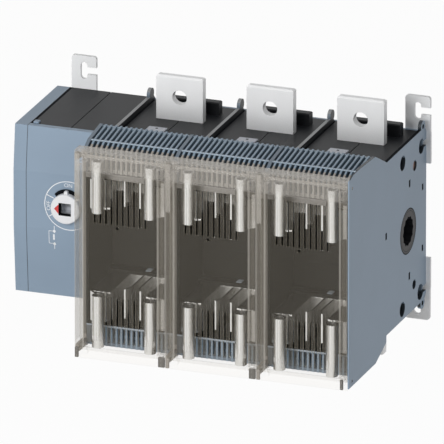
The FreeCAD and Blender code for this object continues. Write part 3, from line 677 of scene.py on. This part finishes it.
# Dial: red arrow and painted shade lining its socket, a dark collar behind it and its lock pin
arrow = [(DIAL_X - 6.0, DIAL_Z + 4.6), (DIAL_X - 10.4, DIAL_Z), (DIAL_X - 6.0, DIAL_Z - 4.6)]
patch("dial_arrow", arrow, "red", y=DIAL_FRONT_Y, body="dial_body")

SOCKET = 6.0
SKIN = 0.15
socket_y = about(DIAL_FRONT_Y, 0.1, 5.9)
whole = (-SOCKET, SOCKET)
lower = (-SOCKET, -SOCKET + SKIN)
upper = (SOCKET - SKIN, SOCKET)
for index, (x, z) in enumerate(((lower, whole), (upper, whole), (whole, lower), (whole, upper))):
    brick("dial_socket_side_" + str(index + 1), about(DIAL_X, *x), socket_y, about(DIAL_Z, *z),
          "shadow", 0, "dial_body")

COLLAR_R = 15.6
collar = arc(DIAL_X + 0.3, DIAL_Z + 2.2, COLLAR_R, 38, 142, 20)
collar += [(DIAL_X - 6, DIAL_Z + 4), (DIAL_X + 6, DIAL_Z + 4)]
patch("dial_collar", collar, "shadow", lift=1.2)
brick("dial_pin", about(DIAL_X, -1.9, 1.9), (PANEL_Y - 5, PANEL_Y), about(DIAL_Z, 12.5, 16.8),
      "dial_white", 1.2)

# Painted shade in the seam between the module's end cover and its front, from below over the top to
# the rear
SEAM_X = -344.4
SEAM_HALF = 0.3
SEAM_LIFT = 0.05
seam = (
    (PANEL_EDGE_Y - SEAM_LIFT, PANEL_BOTTOM),
    (PANEL_Y - SEAM_LIFT, PANEL_LOW),
    (PANEL_Y - SEAM_LIFT, PANEL_HIGH),
    (PANEL_EDGE_Y - SEAM_LIFT, PANEL_TOP + SEAM_LIFT),
    (208.0, PANEL_TOP + SEAM_LIFT),
)
points = [(x, y, z) for y, z in seam for x in about(SEAM_X, -SEAM_HALF, SEAM_HALF)]
faces = [(2 * i, 2 * i + 1, 2 * i + 3, 2 * i + 2) for i in range(len(seam) - 1)]
piece("drive_seam", points, faces, "seam_shade")
# Painted shade in a groove along the module's top beside the seam, and a tab there
brick("drive_plate_groove", about(SEAM_X, 0.2, 2.6), (104.0, 207.0), about(PANEL_TOP, -0.3, 0.08),
      "shadow", 0)
brick("drive_plate_tab", about(SEAM_X, 3.0, 8.0), (104.0, 110.0), about(PANEL_TOP, -0.2, 1.6),
      "housing_plastic", 0.4)


def pole_middle(pole):
    return POLE_1_X - (pole - 1) * POLE_PITCH


def at_each_pole(rows, body="root"):
    """Bricks that every pole has. {} is the pole's number, and X is from the pole's middle."""
    for pole in range(1, POLES + 1):
        for name, x, y, z, finish, bevel in rows:
            x_here = about(pole_middle(pole), *x)
            brick(name.format(pole), x_here, y, z, finish, bevel, body.format(pole))


# Half the opening between two ridges
SIDE = 42.0

# Light lock tab on each pole's black plate, painted shade in its hole, and painted shade in the seams
# beside the ridges.
# These tables' columns are name, X, Y, Z, finish and bevel.
PLATE_Z = 178.0
PLATE_Y = (72.0, 204.0)
tab_z = about(PLATE_Z, -0.1, 1.6)
hole_z = about(PLATE_Z, 1.5, 1.66)
seam_z = about(PLATE_Z, -0.1, 0.06)
at_each_pole((
    ("lock_tab_{}", (-19.5, -1.8), (118.0, 130.5), tab_z, "tab_plastic", 0.4),
    ("lock_tab_hole_{}", (-11.8, -9.6), (125.2, 127.4), hole_z, "shadow", 0),
    ("plate_seam_{}_left", (-SIDE, -SIDE + 1.6), PLATE_Y, seam_z, "shadow", 0),
    ("plate_seam_{}_right", (SIDE - 3.4, SIDE), PLATE_Y, seam_z, "shadow", 0),
))

# Painted shade in the gap along the right wall's top edge
WALL_TOP = 183.0
brick("wall_gap_shade", (-3.1, -0.15), (101.5, 206.0), about(WALL_TOP, -0.1, 0.06), "shadow", 0)

# Edges, posts and bars of the grilles, and on the chamber's back a light mark and a groove of painted
# shade
POST_WIDTH = 4.7
EDGE_LOW = 20.6
BAR_TOP = 4.0
across = (-SIDE, SIDE)
post_y = (26.4, 30.2)
post_z = (BAR_TOP, EDGE_LOW)
at_each_pole((
    ("grille_edge_{}", across, (26.0, 27.1), (EDGE_LOW, 22.0), "edge_plastic", 0.3),
    ("grille_post_{}_left", (-SIDE, -SIDE + POST_WIDTH), post_y, post_z, "post_plastic", 0.3),
    ("grille_post_{}_right", (SIDE - POST_WIDTH, SIDE), post_y, post_z, "post_plastic", 0.3),
    ("grille_crest_{}", across, (38.4, 40.0), (193.2, 194.7), "crest_plastic", 0.4),
    ("grille_lip_{}", across, (25.6, 27.0), (162.6, 167.6), "lip_plastic", 0.3),
    ("grille_bar_{}", across, (30.2, 33.0), (0.8, BAR_TOP), "ridge_plastic", 0.4),
    ("chamber_mark_{}", (-5.0, 0.2), (80.5, 88.0), (57.9, 58.6), "edge_plastic", 0.3),
    ("chamber_groove_{}", (-10.4, 4.1), (88.9, 89.2), (83.6, 84.6), "shadow", 0),
))

# Milky ribs on the covers' side rims
right_rim = (39.4, 43.0)
rib_y = (-0.5, 0.4)
at_each_pole((
    ("cover_rib_{}_1", (-43.3, -38.6), rib_y, (148.0, 194.0), "cover_frost", 0.3),
    ("cover_rib_{}_2", right_rim, rib_y, (143.0, 175.0), "cover_frost", 0.3),
    ("cover_rib_{}_3", right_rim, rib_y, (34.0, 64.0), "cover_frost", 0.3),
    ("cover_rib_{}_4", right_rim, rib_y, (79.0, 84.0), "cover_frost", 0.3),
), "cover_{}")


def hinge_hook(pole, side, x, finish):
    """A hook at a cover's lower corner, with two pale eyes."""
    body = "cover_" + str(pole)
    place = str(pole) + "_" + side
    brick("hinge_hook_" + place, x, (-0.4, 2.0), (-1.6, 8.0), finish, 0.5, body)
    eye_x = about(sum(x) / 2, -0.6, 0.6)
    for index, z in enumerate((0.6, 5.2)):
        brick("hinge_eye_" + place + "_" + str(index + 1), eye_x, (-0.6, 0.2), about(z, -1.1, 1.1),
              "cover_frost", 0.2, body)


# The hooks are dark but for the left ones beside another cover, and narrower beside the wall
for pole in range(1, POLES + 1):
    left_finish = "hook_plastic" if pole == POLES else "hook_pale"
    right_end = 39.4 if pole == 1 else 42.8
    hinge_hook(pole, "left", about(pole_middle(pole), -43.6, -40.2), left_finish)
    hinge_hook(pole, "right", about(pole_middle(pole), 36.6, right_end), "hook_plastic")


def hoop(name, x, inner, outer):
    """A flat ring of painted shade on the right side, about the switch shaft."""
    count = 72
    rings = [arc(SHAFT_Y, SHAFT_Z, r, 0, 360, count)[:-1] for r in (inner, outer)]
    points = [(x, y, z) for ring in rings for y, z in ring]
    faces = [(i, (i + 1) % count, count + (i + 1) % count, count + i) for i in range(count)]
    piece(name, points, faces, "shadow", "switch")


# Painted shade in the gap round the shaft's hub, and in a thin groove in its face
hoop("hub_edge", x=0.06, inner=20.7, outer=21.5)
hoop("hub_groove", x=0.05, inner=18.6, outer=18.9)

# Copper end of a tie rod in the right wall
TIE_X = -1.6
TIE_Y = 176.8
TIE_Z = 154.9
TIE_R = 4.6
rim = arc(TIE_Y, TIE_Z, TIE_R, 0, 360, 32)[:-1]
piece("wall_tie_end", [(TIE_X, y, z) for y, z in rim], [tuple(range(len(rim)))], "copper")
